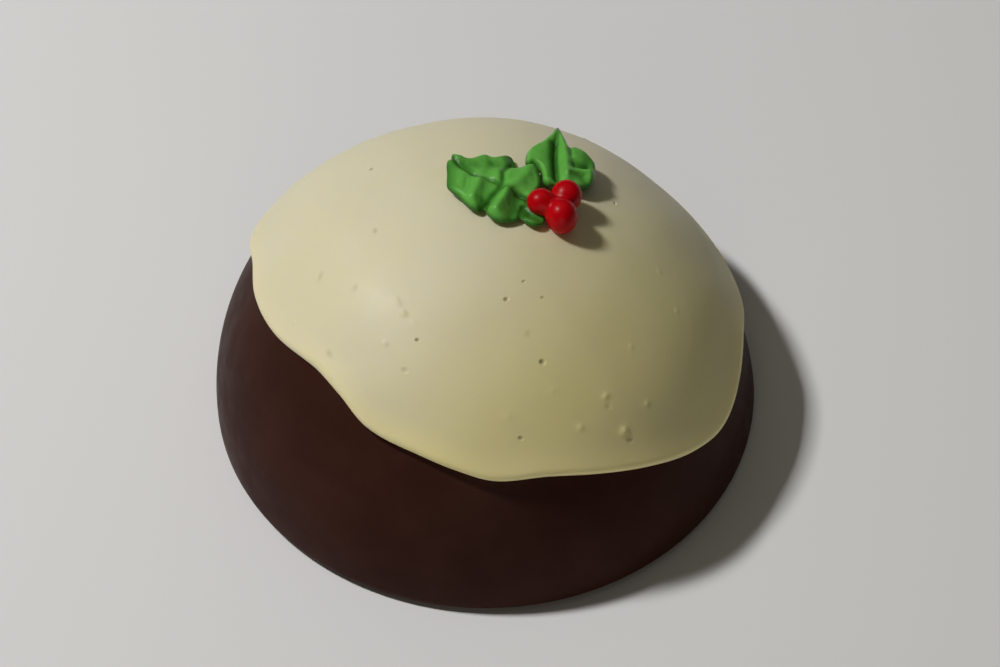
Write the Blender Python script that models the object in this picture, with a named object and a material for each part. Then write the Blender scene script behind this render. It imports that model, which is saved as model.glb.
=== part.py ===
"""Christmas pudding: a half-sphere pudding coated in dark chocolate, with white icing poured
over the top and a sprig of sugar holly. Metres, +Z up, the front faces -Y and the flat
base rests on Z = 0."""

from math import atan2, cos, exp, hypot, log, pi, radians, sin, sqrt

import bmesh
import bpy
import numpy as np

MM = 0.001

# Clearance kept between pieces that touch.
GAP = 0.3 * MM

# The dome: a half sphere from a 150 mm mould, a little flattened, its top leaning left.
DOME_RADIUS = 75.4 * MM
DOME_HEIGHT = 72.8 * MM
TOP_LEAN = -5.2 * MM
BASE_ROUND = 3.0 * MM
# Waves round the wall: how many, how deep as a share of the radius, and where they peak.
DOME_WAVES = ((2, 0.0030, radians(60)), (3, 0.0020, radians(70)))
# The axis of the base, set so that the outline is centred on the origin.
AXIS_X = 0.345 * MM
AXIS_Y = -0.075 * MM
# Steps that find the height of the leaning dome over a point.
HEIGHT_STEPS = 12
SIDES = 64
DOME_RINGS = 22
BASE_RINGS = 4

# The icing: how far it runs down from the top along the dome, by azimuth in degrees
# (-90 is the front, 0 the right), in millimetres.
ICING_REACH = (
    (-176, 66.0), (-160, 62.3), (-142, 58.1), (-130, 59.6), (-119, 64.0), (-105, 66.8),
    (-95, 69.8), (-86, 72.7), (-73, 73.8), (-61, 77.7), (-49, 83.2), (-37, 89.4),
    (-26, 93.2), (-12, 91.9), (0, 91.6), (10, 95.7), (22, 98.0), (40, 94.0),
    (62, 84.0), (84, 81.0), (104, 86.0), (124, 83.5), (140, 80.0), (152, 81.4),
    (161, 76.5), (172, 68.6),
)
ICING_DEPTH = 2.5 * MM
# Where it has run far, from the first to the second reach, it is thinner on the way down
# and stands in a thicker bead along its edge.
RUN_FAR = (84.0 * MM, 97.0 * MM)
THINNING = 1.3 * MM
BEAD_DEPTH = (0.8 * MM, 1.5 * MM)
BEAD_RUN = 5.5 * MM
LIP_RUN = 2.6 * MM
LIP_HEIGHT = 0.8 * MM
LIP_UNDER = 0.9 * MM
ICING_RINGS = 18
LIP_ANGLES = tuple(radians(angle) for angle in (60, 30, 0, -45))
LINING_RINGS = 12

# The holly is one rigid sprig, nearly flat, that touches the icing at this point.
SPRIG_X = 9.0 * MM
SPRIG_Y = 9.5 * MM
# Share of the flatness it keeps: 1 is a flat plate and 0 follows the icing.
SPRIG_FLATNESS = 0.75
LEAF_EDGE = 0.5 * MM
# In millimetres: how tall a leaf stands over its rim, how far in its edge rounds over, and
# the width and depth of the thin line and the wide hollow along its vein.
LEAF_RISE = 2.3
LEAF_ROUND = 1.5
LEAF_LOWEST = 0.3
VEINS = ((0.4, 0.3), (1.5, 0.3))
# Steps of the outline's curve from one of its points to the next.
CURVE_STEPS = 12
SPOKES = 96
# Rings of a leaf, as shares of the way from its middle to its outline, and the share from
# which its underside turns up to the edge.
LEAF_SHARES = (0.22, 0.42, 0.60, 0.75, 0.87, 0.96)
LEAF_TURN = 0.8

# Each leaf in millimetres: the middle that its mesh is built round; its outline, with the
# points close together at tips and notches; its vein; and its folds, each with the line that
# it follows, its width and its height, which is less than 0 for a furrow.
LEAF_LEFT = {
    "middle": (2.0, 9.8),
    "outline": (
        (15.0, 10.4), (15.2, 13.2), (14.9, 15.8), (14.2, 18.2), (13.3, 19.2), (12.2, 19.0),
        (10.2, 18.4), (8.7, 18.6), (7.9, 21.1), (7.2, 22.7), (6.0, 23.0), (4.0, 21.9),
        (2.4, 21.3), (0.3, 21.9), (-1.2, 21.4), (-3.4, 20.2), (-5.0, 20.2), (-6.2, 20.8),
        (-8.8, 21.0), (-9.0, 19.4), (-10.0, 18.4), (-10.1, 13.3), (-10.0, 8.2), (-9.1, 6.7),
        (-7.1, 4.6), (-5.0, 1.9), (-3.5, 0.4), (-1.7, -0.2), (-0.3, 0.8), (0.6, -1.1),
        (2.2, -2.8), (4.2, -3.4), (6.4, -3.0), (8.3, -2.2), (9.4, -1.4), (10.6, -2.5),
        (12.8, -3.5), (14.9, -2.9), (15.9, -1.1), (15.2, 2.2), (14.4, 5.4), (14.2, 8.1),
    ),
    "vein": ((-8.6, 19.4), (-6.4, 16.0), (-3.2, 12.5), (0.2, 11.2), (4.4, 9.3), (8.4, 7.0),
             (12.2, 4.8)),
    "folds": (
        (((-5.8, 12.8), (-6.2, 9.4)), 1.3, 0.15),
        (((-1.3, 9.8), (-2.0, 6.6), (-3.2, 3.4)), 1.6, 1.0),
        (((6.4, 7.8), (5.0, 3.8), (3.2, -0.4)), 1.5, 1.1),
        (((3.4, 11.8), (3.8, 14.4)), 1.6, 0.5),
        (((8.4, 10.0), (10.6, 13.4), (12.4, 17.2)), 2.0, 0.9),
        (((-1.0, 13.8), (0.0, 17.4)), 1.2, 0.2),
        (((-10.2, 15.6), (-9.9, 9.0)), 3.0, -0.9),
        (((-4.8, 10.4), (-5.2, 7.4)), 0.5, -0.12),
        (((-5.0, 17.6), (-1.0, 17.0), (3.4, 17.8)), 2.6, -0.7),
        (((-5.6, 17.0), (-3.2, 14.4)), 1.0, -0.3),
        (((4.4, 8.0), (1.9, 4.0), (-0.2, 0.0)), 0.9, -0.9),
        (((0.0, 2.6), (-1.4, -0.2)), 1.4, -0.9),
        (((8.8, 5.6), (8.2, 2.0), (7.0, -2.0)), 1.8, -1.0),
        (((10.2, 2.4), (9.5, -1.0)), 0.7, -0.8),
        (((11.6, 4.6), (11.2, 1.0)), 1.4, -0.8),
        (((11.4, -0.4), (14.4, -1.4)), 2.4, -1.2),
        (((5.1, 10.2), (5.3, 14.8), (6.4, 17.6), (8.2, 18.6)), 0.8, -0.6),
        (((7.6, 21.8), (8.2, 19.2)), 2.0, -1.6),
        (((1.2, 20.4), (2.2, 18.2)), 0.9, -0.25),
    ),
}
LEAF_RIGHT = {
    "middle": (19.0, 21.0),
    "outline": (
        (29.9, 21.6), (29.8, 24.8), (28.4, 27.4), (26.4, 29.0), (24.4, 29.5), (23.1, 29.2),
        (22.3, 31.3), (21.3, 34.4), (20.5, 37.5), (20.1, 38.2), (19.6, 37.5), (18.3, 34.6),
        (16.8, 32.2), (15.4, 29.8), (13.6, 28.0), (12.2, 26.4), (11.4, 24.4), (11.0, 22.2),
        (11.1, 20.2), (12.0, 19.6), (13.4, 19.75), (14.4, 19.0), (15.0, 17.6), (15.4, 15.6),
        (15.65, 13.4), (16.8, 12.2), (18.6, 12.2), (21.0, 12.4), (24.0, 12.4), (26.8, 13.3),
        (28.4, 14.9), (29.5, 17.3), (29.9, 19.5),
    ),
    "vein": ((20.3, 37.6), (19.8, 32.4), (19.1, 27.8), (18.9, 21.6), (19.2, 13.6)),
    "folds": (
        (((15.6, 13.6), (14.6, 18.4), (14.2, 23.0), (16.4, 28.0)), 2.6, 0.4),
        (((22.2, 14.6), (22.4, 21.6), (21.9, 27.8), (20.9, 34.6)), 1.3, 0.7),
        (((22.6, 17.0), (24.6, 18.0), (28.6, 19.2)), 1.1, 0.6),
        (((18.9, 29.5), (18.7, 23.8), (19.0, 14.8)), 1.1, -1.0),
        (((24.4, 21.0), (27.6, 21.3)), 1.1, -0.8),
        (((28.8, 25.4), (28.2, 22.4)), 2.4, -0.9),
        (((26.4, 16.8), (28.0, 13.8)), 1.8, -0.8),
        (((23.5, 24.4), (23.2, 29.2)), 0.7, -0.35),
    ),
}

# Berries are piped drops: centre, then half width, half depth and half height, in
# millimetres. Where two meet they run together, softly over about the given length.
BERRIES = {
    "left": ((14.9, 3.0, 77.7), (3.8, 3.6, 3.6)),
    "back": ((21.8, 7.6, 74.9), (4.2, 4.2, 4.4)),
    "front": ((20.4, -0.5, 75.8), (4.25, 4.6, 5.0)),
}
BERRY_MEET = 0.7
# A berry's skin is looked for up to this far from its centre, by halving the span each time.
BERRY_LONGEST = 8.0
HALVINGS = 24
# Clearance of a berry over the folds of a leaf, wider for the flat faces that both are made of.
LEAF_GAP = 0.6 * MM
BERRY_SIDES = 16
BERRY_RINGS = 10

# Edges that turn by more than this many degrees stay sharp.
SHARP_DOME = 50
SHARP = 60

# Colour and roughness.
MATERIALS = {
    "dark_chocolate": ((0.030, 0.013, 0.009), 0.38),
    "white_icing": ((0.72, 0.66, 0.43), 0.42),
    "green_sugar": ((0.045, 0.25, 0.025), 0.40),
    "red_sugar": ((0.42, 0.004, 0.010), 0.32),
}


def dome_point(azimuth, polar, offset):
    """A point on the dome grown by offset; polar is 0 at the top and pi / 2 at the base."""
    waves = sum(depth * cos(count * (azimuth - peak)) for count, depth, peak in DOME_WAVES)
    reach = (DOME_RADIUS + offset) * (1 + waves) * sin(polar)
    x = AXIS_X + TOP_LEAN * cos(polar) + reach * cos(azimuth)
    y = AXIS_Y + reach * sin(azimuth)
    return x, y, (DOME_HEIGHT + offset) * cos(polar)


def dome_height(x, y, offset):
    """Height of the dome grown by offset above the point (x, y)."""
    rise = 1.0
    for _ in range(HEIGHT_STEPS):
        across = x - AXIS_X - TOP_LEAN * rise
        along = y - AXIS_Y
        azimuth = atan2(along, across)
        waves = sum(depth * cos(count * (azimuth - peak)) for count, depth, peak in DOME_WAVES)
        share = hypot(across, along) / ((DOME_RADIUS + offset) * (1 + waves))
        rise = sqrt(max(0.0, 1 - share * share))
    return (DOME_HEIGHT + offset) * rise


def ring(point):
    """One closed ring of SIDES points, from a function of the azimuth."""
    return [point(2 * pi * side / SIDES) for side in range(SIDES)]


def icing_reach(azimuth):
    """How far the icing runs down at an azimuth: a smooth closed curve through its points."""
    count = len(ICING_REACH)
    angle = (azimuth * 180 / pi - ICING_REACH[0][0]) % 360 + ICING_REACH[0][0]

    def knot(index):
        turn, place = divmod(index, count)
        return ICING_REACH[place][0] + 360 * turn, ICING_REACH[place][1]

    first = max(index for index in range(count) if knot(index)[0] <= angle)
    (x0, y0), (x1, y1), (x2, y2), (x3, y3) = (knot(first + step) for step in (-1, 0, 1, 2))
    span = x2 - x1
    t = (angle - x1) / span
    slope1 = (y2 - y0) / (x2 - x0) * span
    slope2 = (y3 - y1) / (x3 - x1) * span
    start = (2 * t ** 3 - 3 * t ** 2 + 1) * y1 + (t ** 3 - 2 * t ** 2 + t) * slope1
    end = (3 * t ** 2 - 2 * t ** 3) * y2 + (t ** 3 - t ** 2) * slope2
    return (start + end) * MM


def icing_depth(azimuth, run):
    """Thickness of the icing at a distance up from its edge, with the bead along the edge."""
    reach = icing_reach(azimuth)
    far = min(1.0, max(0.0, (reach - RUN_FAR[0]) / (RUN_FAR[1] - RUN_FAR[0])))
    bead = BEAD_DEPTH[0] + (BEAD_DEPTH[1] - BEAD_DEPTH[0]) * far
    thinner = THINNING * far * (1 - run / reach)
    return ICING_DEPTH - thinner + bead * exp(-(run / BEAD_RUN) ** 2)


def icing_point(azimuth, run, height):
    """A point of the icing at a distance up from its edge and a height over the dome."""
    polar = (icing_reach(azimuth) - run) / DOME_RADIUS
    return dome_point(azimuth, polar, GAP + height)


def sprig_floor(x, y):
    """The underside of the holly: a nearly flat sheet laid against the icing."""
    step = 0.1 * MM
    offset = GAP + ICING_DEPTH

    def icing(u, v):
        return dome_height(u, v, offset)

    slope_x = (icing(SPRIG_X + step, SPRIG_Y) - icing(SPRIG_X - step, SPRIG_Y)) / (2 * step)
    slope_y = (icing(SPRIG_X, SPRIG_Y + step) - icing(SPRIG_X, SPRIG_Y - step)) / (2 * step)
    plate = icing(SPRIG_X, SPRIG_Y) + slope_x * (x - SPRIG_X) + slope_y * (y - SPRIG_Y)
    surface = icing(x, y)
    return surface + GAP + SPRIG_FLATNESS * (plate - surface)


def nearest(x, y, start, end):
    """Distance from (x, y) to the straight line from start to end."""
    dx, dy = end[0] - start[0], end[1] - start[1]
    share = ((x - start[0]) * dx + (y - start[1]) * dy) / (dx * dx + dy * dy)
    share = min(1.0, max(0.0, share))
    return hypot(x - start[0] - share * dx, y - start[1] - share * dy)


def off_line(x, y, line):
    """Distance from (x, y) to a line through several points."""
    return min(nearest(x, y, *ends) for ends in zip(line, line[1:]))


def outline_curve(leaf):
    """Points of a leaf's outline: a smooth closed curve that turns fast where points are near."""
    point = np.array(leaf["outline"])
    before, after, beyond = (np.roll(point, shift, axis=0) for shift in (1, -1, -2))

    def stride(start, end):
        return np.sqrt(np.linalg.norm(end - start, axis=1, keepdims=True))

    first, second, third = stride(before, point), stride(point, after), stride(after, beyond)
    leave = after - point + second * ((point - before) / first
                                      - (after - before) / (first + second))
    arrive = after - point + second * ((beyond - after) / third
                                       - (beyond - point) / (second + third))
    t = np.arange(CURVE_STEPS)[:, None, None] / CURVE_STEPS
    curve = ((2 * t ** 3 - 3 * t ** 2 + 1) * point + (t ** 3 - 2 * t ** 2 + t) * leave
             + (3 * t ** 2 - 2 * t ** 3) * after + (t ** 3 - t ** 2) * arrive)
    return curve.transpose(1, 0, 2).reshape(-1, 2)


def leaf_radius(leaf, angle):
    """Distance in millimetres from the leaf's middle to its outline at an angle."""
    away = outline_curve(leaf) - leaf["middle"]
    turn = np.arctan2(away[:, 1], away[:, 0])
    order = np.argsort(turn)
    return float(np.interp(angle, turn[order], np.hypot(*away[order].T), period=2 * pi))


def leaf_height(leaf, x, y):
    """Height of a leaf over its rim at (x, y) in millimetres; 0 outside its outline."""
    across, along = x - leaf["middle"][0], y - leaf["middle"][1]
    if hypot(across, along) >= leaf_radius(leaf, atan2(along, across)):
        return 0.0
    from_edge = float(np.hypot(*(outline_curve(leaf) - (x, y)).T).min())
    edge = sqrt(1 - (1 - min(from_edge / LEAF_ROUND, 1.0)) ** 2)
    top = LEAF_RISE
    for line, width, height in leaf["folds"]:
        top += height * exp(-(off_line(x, y, line) / width) ** 2)
    for width, depth in VEINS:
        top -= depth * exp(-(off_line(x, y, leaf["vein"]) / width) ** 2)
    return max(top, LEAF_LOWEST) * edge


def stack_mesh(name, start, rings, end, turn=None):
    """A closed solid through a start point, rings of points and an end point. The split of
    each four-sided cell is mirrored from ring number turn on."""
    shape = bmesh.new()
    first = shape.verts.new(start)
    loops = [[shape.verts.new(point) for point in points] for points in rings]
    last = shape.verts.new(end)
    sides = len(rings[0])
    for side in range(sides):
        beside = (side + 1) % sides
        shape.faces.new((first, loops[0][side], loops[0][beside]))
        shape.faces.new((last, loops[-1][beside], loops[-1][side]))
    for level in range(len(loops) - 1):
        above, below = loops[level], loops[level + 1]
        for side in range(sides):
            beside = (side + 1) % sides
            if turn is not None and level >= turn:
                shape.faces.new((above[side], below[side], above[beside]))
                shape.faces.new((below[side], below[beside], above[beside]))
            else:
                shape.faces.new((above[side], below[side], below[beside]))
                shape.faces.new((above[side], below[beside], above[beside]))
    mesh = bpy.data.meshes.new(name)
    shape.to_mesh(mesh)
    shape.free()
    return mesh


def place(name, mesh, material, sharp):
    """Puts a mesh in the scene as the named object, shaded smooth up to an angle in degrees."""
    mesh.materials.append(material)
    mesh.shade_smooth()
    mesh.set_sharp_from_angle(angle=radians(sharp))
    bpy.context.scene.collection.objects.link(bpy.data.objects.new(name, mesh))


def make_material(name):
    """A Principled material from its row in MATERIALS."""
    colour, roughness = MATERIALS[name]
    material = bpy.data.materials.new(name)
    material.use_nodes = True
    shader = material.node_tree.nodes["Principled BSDF"]
    shader.inputs["Base Color"].default_value = (*colour, 1.0)
    shader.inputs["Roughness"].default_value = roughness
    shader.inputs["Metallic"].default_value = 0.0
    return material


def make_pudding(material):
    """The solid dome with a rounded lower edge and a flat base."""
    edge = pi / 2 - BASE_ROUND / DOME_HEIGHT
    rings = []
    for level in range(1, DOME_RINGS + 1):
        polar = edge * level / DOME_RINGS
        rings.append(ring(lambda azimuth: dome_point(azimuth, polar, 0.0)))
    for level in range(1, BASE_RINGS + 1):
        turn = pi / 2 * level / BASE_RINGS
        inset = BASE_ROUND * (1 - cos(turn))
        height = BASE_ROUND * (1 - sin(turn))
        rings.append([(x, y, height) for x, y, _ in
                      ring(lambda azimuth: dome_point(azimuth, edge, -inset))])
    top = dome_point(0.0, 0.0, 0.0)
    mesh = stack_mesh("pudding", top, rings, (AXIS_X, AXIS_Y, 0.0))
    place("pudding", mesh, material, SHARP_DOME)


def make_icing(material):
    """The poured icing: its top surface, the rolled lip of its edge, and its underside."""
    rings = []
    for level in range(1, ICING_RINGS + 1):
        def outer(azimuth, share=level / ICING_RINGS):
            reach = icing_reach(azimuth)
            run = LIP_RUN + (reach - LIP_RUN) * (1 - share)
            return icing_point(azimuth, run, icing_depth(azimuth, run))
        rings.append(ring(outer))
    for angle in LIP_ANGLES:
        def lip(azimuth, angle=angle):
            if angle < 0:
                run = LIP_UNDER * (1 - cos(angle))
                return icing_point(azimuth, run, LIP_HEIGHT * (1 + sin(angle)))
            run = LIP_RUN * (1 - cos(angle))
            rise = icing_depth(azimuth, run) - LIP_HEIGHT
            return icing_point(azimuth, run, LIP_HEIGHT + rise * sin(angle))
        rings.append(ring(lip))
    for level in range(LINING_RINGS, 0, -1):
        def inner(azimuth, share=level / LINING_RINGS):
            reach = icing_reach(azimuth)
            return icing_point(azimuth, reach - (reach - LIP_UNDER) * share, 0.0)
        rings.append(ring(inner))
    top = dome_point(0.0, 0.0, GAP + ICING_DEPTH)
    bottom = dome_point(0.0, 0.0, GAP)
    place("icing", stack_mesh("icing", top, rings, bottom), material, SHARP)


def make_leaf(name, leaf, material):
    """A thin wavy solid: folded on top, nearly flat below, both faces split alike."""
    middle_x, middle_y = leaf["middle"]
    tip_x, tip_y = max(leaf["outline"], key=lambda point: point[1])
    start = atan2(tip_y - middle_y, tip_x - middle_x)
    angles = [start + 2 * pi * spoke / SPOKES for spoke in range(SPOKES)]
    radii = [leaf_radius(leaf, angle) for angle in angles]

    def level(share, top):
        points = []
        for angle, radius in zip(angles, radii):
            x = middle_x + share * radius * cos(angle)
            y = middle_y + share * radius * sin(angle)
            floor = sprig_floor(x * MM, y * MM)
            if top:
                height = LEAF_EDGE + leaf_height(leaf, x, y) * MM
            else:
                height = LEAF_EDGE * max(0.0, share - LEAF_TURN) / (1 - LEAF_TURN)
            points.append((x * MM, y * MM, floor + height))
        return points

    rings = [level(share, True) for share in LEAF_SHARES]
    rings.append(level(1.0, False))
    rings.extend(level(share, False) for share in reversed(LEAF_SHARES))
    floor = sprig_floor(middle_x * MM, middle_y * MM)
    crown = LEAF_EDGE + leaf_height(leaf, middle_x, middle_y) * MM
    top = (middle_x * MM, middle_y * MM, floor + crown)
    bottom = (middle_x * MM, middle_y * MM, floor)
    mesh = stack_mesh(name, top, rings, bottom, turn=len(LEAF_SHARES))
    place(name, mesh, material, SHARP)


def support(x, y):
    """Height that a berry stands on at (x, y): the left leaf where it lies, else the icing."""
    raised = leaf_height(LEAF_LEFT, x / MM, y / MM) * MM
    if raised > 0:
        return sprig_floor(x, y) + LEAF_EDGE + raised + LEAF_GAP
    return dome_height(x, y, GAP + ICING_DEPTH) + GAP


def off_berry(berry, point):
    """Roughly the distance in millimetres from a point to a berry's skin, less than 0 in it."""
    centre, half_size = BERRIES[berry]
    away = (point - np.array(centre)) / np.array(half_size)
    return (float(np.linalg.norm(away)) - 1) * min(half_size)


def outside_berry(berry, point):
    """Above 0 outside a berry where it runs together with the others, and below 0 in it."""
    own = off_berry(berry, point)
    others = [off_berry(other, point) for other in BERRIES if other != berry]
    joined = -BERRY_MEET * log(sum(exp(-away / BERRY_MEET) for away in [own, *others]))
    return max(joined, *((own - away + GAP / MM) / 2 for away in others))


def berry_reach(berry, heading):
    """Distance in millimetres from a berry's centre to its skin in a direction."""
    near, far = 0.0, BERRY_LONGEST
    for _ in range(HALVINGS):
        middle = (near + far) / 2
        if outside_berry(berry, np.array(BERRIES[berry][0]) + heading * middle) > 0:
            far = middle
        else:
            near = middle
    return near


def make_berry(berry, material):
    """A drop with a rounded top, run together with the other berries where they meet, a gap
    apart, and flattened below where it stands."""
    centre = np.array(BERRIES[berry][0])

    def skin(polar, azimuth):
        heading = np.array((sin(polar) * cos(azimuth), sin(polar) * sin(azimuth), cos(polar)))
        x, y, z = (centre + heading * berry_reach(berry, heading)) * MM
        return x, y, max(z, support(x, y))

    rings = [[skin(pi * level / BERRY_RINGS, 2 * pi * side / BERRY_SIDES)
              for side in range(BERRY_SIDES)] for level in range(1, BERRY_RINGS)]
    name = "berry_" + berry
    place(name, stack_mesh(name, skin(0.0, 0.0), rings, skin(pi, 0.0)), material, SHARP)


def main():
    for item in list(bpy.data.objects):
        bpy.data.objects.remove(item, do_unlink=True)
    materials = {name: make_material(name) for name in MATERIALS}
    make_pudding(materials["dark_chocolate"])
    make_icing(materials["white_icing"])
    make_leaf("leaf_left", LEAF_LEFT, materials["green_sugar"])
    make_leaf("leaf_right", LEAF_RIGHT, materials["green_sugar"])
    for berry in BERRIES:
        make_berry(berry, materials["red_sugar"])


main()
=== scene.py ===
"""The looks of a christmas pudding: the chocolate coat, the poured white icing with its marks,
the piped sugar holly, and a plain studio with the camera at the photo's viewing angle.
Metres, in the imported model's frame. The shapes follow the same formulas and the same sizes as
the solids, on much finer meshes."""

from math import cos, pi, radians, sin

import bmesh
import bpy
import numpy as np
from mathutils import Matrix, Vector


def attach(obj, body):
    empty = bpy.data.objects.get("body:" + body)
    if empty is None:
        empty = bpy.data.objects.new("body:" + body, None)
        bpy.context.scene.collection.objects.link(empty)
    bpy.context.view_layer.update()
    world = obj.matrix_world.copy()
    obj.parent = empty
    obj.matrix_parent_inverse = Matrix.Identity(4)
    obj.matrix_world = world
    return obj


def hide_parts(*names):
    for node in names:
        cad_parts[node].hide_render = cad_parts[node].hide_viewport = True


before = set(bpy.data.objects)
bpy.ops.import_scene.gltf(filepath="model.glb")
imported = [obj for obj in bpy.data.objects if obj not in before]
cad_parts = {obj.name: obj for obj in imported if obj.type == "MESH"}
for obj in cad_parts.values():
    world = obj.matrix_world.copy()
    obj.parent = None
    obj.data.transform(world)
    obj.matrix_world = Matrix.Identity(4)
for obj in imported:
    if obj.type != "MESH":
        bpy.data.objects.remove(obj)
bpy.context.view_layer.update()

MM = 0.001

# Sizes that the solids have too.

# Clearance kept between pieces that touch.
GAP = 0.3 * MM

# The dome: a half sphere from a 150 mm mould, a little flattened, its top leaning left.
DOME_RADIUS = 75.4 * MM
DOME_HEIGHT = 72.8 * MM
TOP_LEAN = -5.2 * MM
BASE_ROUND = 3.0 * MM
# Waves round the wall: how many, how deep as a share of the radius, and where they peak.
DOME_WAVES = ((2, 0.0030, radians(60)), (3, 0.0020, radians(70)))
# The axis of the base, set so that the outline is centred on the origin.
AXIS_X = 0.345 * MM
AXIS_Y = -0.075 * MM
# Steps that find the height of the leaning dome over a point.
HEIGHT_STEPS = 12

# The icing: how far it runs down from the top along the dome, by azimuth in degrees (-90 is
# the front, 0 the right), in millimetres.
ICING_REACH = (
    (-176, 66.0), (-160, 62.3), (-142, 58.1), (-130, 59.6), (-119, 64.0), (-105, 66.8),
    (-95, 69.8), (-86, 72.7), (-73, 73.8), (-61, 77.7), (-49, 83.2), (-37, 89.4),
    (-26, 93.2), (-12, 91.9), (0, 91.6), (10, 95.7), (22, 98.0), (40, 94.0),
    (62, 84.0), (84, 81.0), (104, 86.0), (124, 83.5), (140, 80.0), (152, 81.4),
    (161, 76.5), (172, 68.6),
)
ICING_DEPTH = 2.5 * MM
# Where it has run far, from the first to the second reach, it is thinner on the way down
# and stands in a thicker bead along its edge.
RUN_FAR = (84.0 * MM, 97.0 * MM)
THINNING = 1.3 * MM
BEAD_DEPTH = (0.8 * MM, 1.5 * MM)
BEAD_RUN = 5.5 * MM
# Its rounded lip: how far its upper side runs, the height of its nose over the dome, and how
# far its lower side turns back in.
LIP_RUN = 2.6 * MM
LIP_HEIGHT = 0.8 * MM
LIP_UNDER = 0.9 * MM

# The holly is one rigid sprig, nearly flat, that touches the icing at this point.
SPRIG_X = 9.0 * MM
SPRIG_Y = 9.5 * MM
# Share of the flatness it keeps: 1 is a flat plate and 0 follows the icing.
SPRIG_FLATNESS = 0.75
# A leaf's thickness at its rim, and the share of the way out from which its underside turns
# up to meet it.
LEAF_EDGE = 0.5 * MM
LEAF_TURN = 0.8
# In millimetres: how tall a leaf stands over its rim, and how far in its edge rounds over.
LEAF_RISE = 2.3
LEAF_ROUND = 1.5
LEAF_LOWEST = 0.3
# The width and depth in millimetres of the line and the wide hollow along a leaf's vein, and
# how much of their height the folds get. The line and the folds are a little bolder here than
# on the solids.
VEINS = ((0.7, 0.5), (1.5, 0.3))
FOLD_SHARE = 1.3
# Steps of an outline's curve from one of its points to the next.
CURVE_STEPS = 12

# Each leaf in millimetres: the middle that its mesh is built round; its outline, with the
# points close together at tips and notches; its vein; and its folds, each with the line that
# it follows, its width and its height, which is less than 0 for a furrow.
LEAF_LEFT = {
    "middle": (2.0, 9.8),
    "outline": (
        (15.0, 10.4), (15.2, 13.2), (14.9, 15.8), (14.2, 18.2), (13.3, 19.2), (12.2, 19.0),
        (10.2, 18.4), (8.7, 18.6), (7.9, 21.1), (7.2, 22.7), (6.0, 23.0), (4.0, 21.9),
        (2.4, 21.3), (0.3, 21.9), (-1.2, 21.4), (-3.4, 20.2), (-5.0, 20.2), (-6.2, 20.8),
        (-8.8, 21.0), (-9.0, 19.4), (-10.0, 18.4), (-10.1, 13.3), (-10.0, 8.2), (-9.1, 6.7),
        (-7.1, 4.6), (-5.0, 1.9), (-3.5, 0.4), (-1.7, -0.2), (-0.3, 0.8), (0.6, -1.1),
        (2.2, -2.8), (4.2, -3.4), (6.4, -3.0), (8.3, -2.2), (9.4, -1.4), (10.6, -2.5),
        (12.8, -3.5), (14.9, -2.9), (15.9, -1.1), (15.2, 2.2), (14.4, 5.4), (14.2, 8.1),
    ),
    "vein": ((-8.6, 19.4), (-6.4, 16.0), (-3.2, 12.5), (0.2, 11.2), (4.4, 9.3), (8.4, 7.0),
             (12.2, 4.8)),
    "folds": (
        (((-5.8, 12.8), (-6.2, 9.4)), 1.3, 0.15),
        (((-1.3, 9.8), (-2.0, 6.6), (-3.2, 3.4)), 1.6, 1.0),
        (((6.4, 7.8), (5.0, 3.8), (3.2, -0.4)), 1.5, 1.1),
        (((3.4, 11.8), (3.8, 14.4)), 1.6, 0.5),
        (((8.4, 10.0), (10.6, 13.4), (12.4, 17.2)), 2.0, 0.9),
        (((-1.0, 13.8), (0.0, 17.4)), 1.2, 0.2),
        (((-10.2, 15.6), (-9.9, 9.0)), 3.0, -0.9),
        (((-4.8, 10.4), (-5.2, 7.4)), 0.5, -0.12),
        (((-5.0, 17.6), (-1.0, 17.0), (3.4, 17.8)), 2.6, -0.7),
        (((-5.6, 17.0), (-3.2, 14.4)), 1.0, -0.3),
        (((4.4, 8.0), (1.9, 4.0), (-0.2, 0.0)), 0.9, -0.9),
        (((0.0, 2.6), (-1.4, -0.2)), 1.4, -0.9),
        (((8.8, 5.6), (8.2, 2.0), (7.0, -2.0)), 1.8, -1.0),
        (((10.2, 2.4), (9.5, -1.0)), 0.7, -0.8),
        (((11.6, 4.6), (11.2, 1.0)), 1.4, -0.8),
        (((11.4, -0.4), (14.4, -1.4)), 2.4, -1.2),
        (((5.1, 10.2), (5.3, 14.8), (6.4, 17.6), (8.2, 18.6)), 0.8, -0.6),
        (((7.6, 21.8), (8.2, 19.2)), 2.0, -1.6),
        (((1.2, 20.4), (2.2, 18.2)), 0.9, -0.25),
    ),
}
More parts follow.
